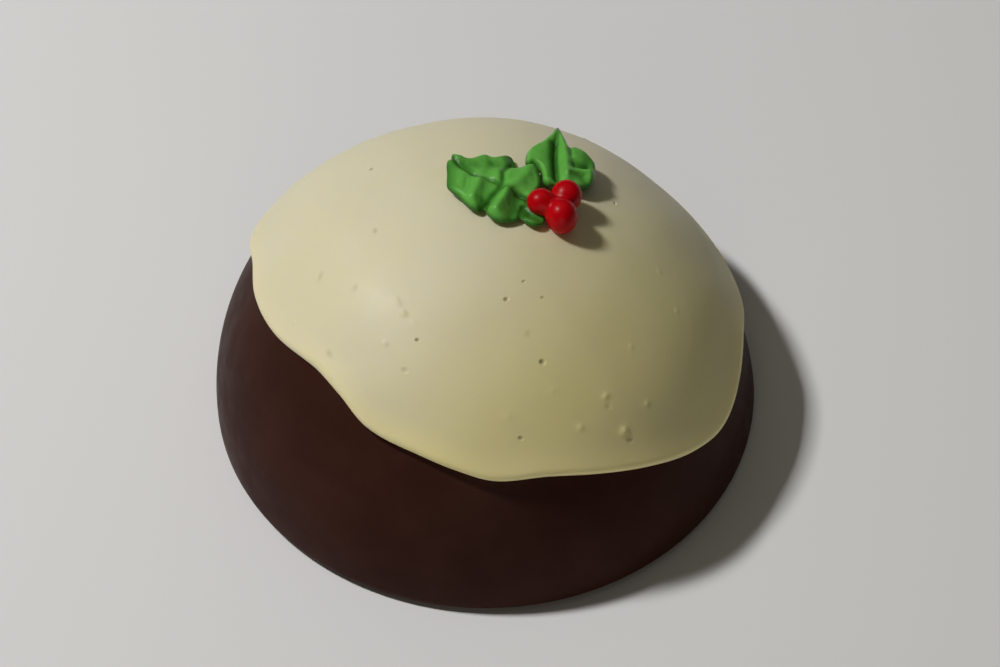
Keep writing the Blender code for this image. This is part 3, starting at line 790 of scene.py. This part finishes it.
def white_icing():
    """Creamy poured icing with a painted shade tint that makes it yellower towards the front
    right, a yellower bead along its edge that is lighter at the front as painted light, and
    painted shade down in its pinholes and dents."""
    nodes = Nodes("white_icing")
    edge = nodes.remap(nodes.value("from_edge"), 0.5, 10.0, 0.75, 0.0)
    place = nodes.add("SeparateXYZ", Vector=nodes.add("TexCoord").outputs["Object"])
    lean = nodes.add("Math", {"operation": "SUBTRACT"})
    nodes.put(lean.inputs[0], place.outputs["X"])
    nodes.put(lean.inputs[1], place.outputs["Y"])
    # Painted shade tint: yellower towards the front right, the side turned away from the key
    # light.
    shade_tint = nodes.remap(lean.outputs["Value"], 0.0, 0.075, 0.0, 1.0)
    cream = nodes.mix(shade_tint, (0.79, 0.735, 0.52), (0.80, 0.715, 0.350))
    # The bead's yellow is its own tone; its lightness towards the front is painted light, standing
    # in for light bounced onto the front rim.
    front = nodes.remap(lean.outputs["Value"], -0.04, 0.05, 0.0, 1.0)
    cream = nodes.mix(edge, cream, nodes.mix(front, (0.85, 0.765, 0.50), (0.94, 0.82, 0.40)))
    cloud = nodes.remap(nodes.noise(38.0, 3.0), 0.35, 0.7, 0.0, 0.3)
    cream = nodes.mix(cloud, cream, (0.77, 0.705, 0.42))
    # Painted shade: the pinholes and dents darken towards this colour.
    nodes.set(Base_Color=nodes.mix(nodes.value("hole_painted_shade"), cream, (0.46, 0.41, 0.22)))
    nodes.set(Roughness=nodes.remap(nodes.noise(90.0, 3.0), 0.3, 0.7, 0.48, 0.56),
              Specular_IOR_Level=0.35)
    nodes.set(Subsurface_Weight=0.35, Subsurface_Radius=(1.0, 0.9, 0.35),
              Subsurface_Scale=0.004)
    wave = nodes.bump(nodes.noise(75.0, 2.0), 0.0006, 0.35)
    nodes.set(Normal=nodes.bump(nodes.noise(1300.0, 2.0), 0.00003, 0.4, wave))
    return nodes.material


def green_sugar():
    """Piped green sugar, with painted shade: darker down in its furrows and along its vein."""
    nodes = Nodes("green_sugar")
    # Painted shade: the lower the sugar lies in its furrows, the darker its green.
    crest = nodes.remap(nodes.value("raised"), 0.4, 2.3, 0.0, 1.0)
    green = nodes.mix(crest, (0.030, 0.140, 0.014), (0.143, 0.495, 0.076))
    # Painted shade: a darker green along the vein's groove.
    vein = nodes.remap(nodes.value("vein"), 0.0, 1.0, 0.0, 0.6)
    green = nodes.mix(vein, green, (0.024, 0.110, 0.013))
    cloud = nodes.remap(nodes.noise(260.0, 3.0), 0.35, 0.7, 0.0, 0.35)
    nodes.set(Base_Color=nodes.mix(cloud, green, (0.075, 0.310, 0.038)))
    nodes.set(Roughness=nodes.remap(nodes.noise(500.0, 3.0), 0.3, 0.7, 0.34, 0.42),
              Specular_IOR_Level=0.22)
    nodes.set(Subsurface_Weight=0.06, Subsurface_Radius=(0.3, 1.0, 0.2),
              Subsurface_Scale=0.0012)
    fold = nodes.bump(nodes.noise(420.0, 2.0), 0.0004, 0.6)
    nodes.set(Normal=nodes.bump(nodes.noise(2200.0, 2.0), 0.00003, 0.4, fold))
    return nodes.material


def red_sugar():
    """Glossy red sugar."""
    nodes = Nodes("red_sugar")
    cloud = nodes.remap(nodes.noise(300.0, 3.0), 0.35, 0.7, 0.0, 1.0)
    nodes.set(Base_Color=nodes.mix(cloud, (0.48, 0.0004, 0.004), (0.54, 0.0008, 0.006)))
    nodes.set(Roughness=nodes.remap(nodes.noise(600.0, 3.0), 0.3, 0.7, 0.30, 0.36),
              Specular_IOR_Level=0.14)
    nodes.set(Subsurface_Weight=0.1, Subsurface_Radius=(1.0, 0.1, 0.1),
              Subsurface_Scale=0.0012)
    nodes.set(Normal=nodes.bump(nodes.noise(500.0, 2.0), 0.00012, 0.4))
    return nodes.material


def make_floor():
    """A plain pale floor, far larger than any view of the pudding."""
    half = FLOOR_SIZE / 2
    mesh = bpy.data.meshes.new("floor")
    corners = [(-half, -half, 0.0), (half, -half, 0.0), (half, half, 0.0), (-half, half, 0.0)]
    mesh.from_pydata(corners, [], [(0, 1, 2, 3)])
    nodes = Nodes("pale_floor")
    nodes.set(Base_Color=FLOOR_COLOUR, Roughness=0.85)
    mesh.materials.append(nodes.material)
    floor = bpy.data.objects.new("floor", mesh)
    bpy.context.scene.collection.objects.link(floor)


def aim(item, target):
    """Turns a camera or a light towards a point."""
    heading = Vector(target) - item.location
    item.rotation_euler = heading.to_track_quat("-Z", "Y").to_euler()


def make_light(name, place, target, size, power, colour):
    """A square softbox aimed at a point."""
    light = bpy.data.lights.new(name, "AREA")
    light.shape = "SQUARE"
    light.size = size
    light.energy = power
    light.color = colour
    item = bpy.data.objects.new(name, light)
    item.location = place
    aim(item, target)
    bpy.context.scene.collection.objects.link(item)


def around_object(azimuth, elevation, distance):
    """The place at an azimuth, an elevation and a distance from the pudding."""
    reach = distance * cos(elevation)
    return reach * cos(azimuth), reach * sin(azimuth), distance * sin(elevation)


def make_studio():
    """The camera at the photo's angle, the key softbox on the left, a soft fill from the front
    and a wide light above."""
    scene = bpy.context.scene
    camera = bpy.data.objects.new("camera", bpy.data.cameras.new("camera"))
    camera.data.lens = CAMERA_LENS
    camera.location = (0.0, -CAMERA_DISTANCE * cos(CAMERA_ELEVATION),
                       CAMERA_DISTANCE * sin(CAMERA_ELEVATION))
    aim(camera, CAMERA_AIM)
    scene.collection.objects.link(camera)
    scene.camera = camera
    make_light("key", around_object(KEY_AZIMUTH, KEY_ELEVATION, KEY_DISTANCE), CAMERA_AIM,
               KEY_SIZE, KEY_POWER, KEY_COLOUR)
    make_light("fill", around_object(FILL_AZIMUTH, FILL_ELEVATION, FILL_DISTANCE), CAMERA_AIM,
               FILL_SIZE, FILL_POWER, FILL_COLOUR)
    make_light("top", TOP_PLACE, CAMERA_AIM, TOP_SIZE, TOP_POWER, TOP_COLOUR)
    world = bpy.data.worlds.new("studio")
    world.use_nodes = True
    tree = world.node_tree
    background = tree.nodes["Background"]
    background.inputs["Color"].default_value = (*WORLD_COLOUR, 1.0)
    seen = tree.nodes.new("ShaderNodeLightPath").outputs["Is Camera Ray"]
    strength = tree.nodes.new("ShaderNodeMapRange")
    strength.inputs["To Min"].default_value = WORLD_FILL
    tree.links.new(seen, strength.inputs["Value"])
    tree.links.new(strength.outputs["Result"], background.inputs["Strength"])
    scene.world = world
    scene.view_settings.view_transform = "Standard"


def main():
    make_coat(chocolate())
    make_icing(white_icing())
    green, red = green_sugar(), red_sugar()
    make_leaf("holly_leaf_left", LEAF_LEFT, green, "leaf_left")
    make_leaf("holly_leaf_right", LEAF_RIGHT, green, "leaf_right")
    for berry in BERRIES:
        make_berry(berry, red)
    make_floor()
    make_studio()


main()
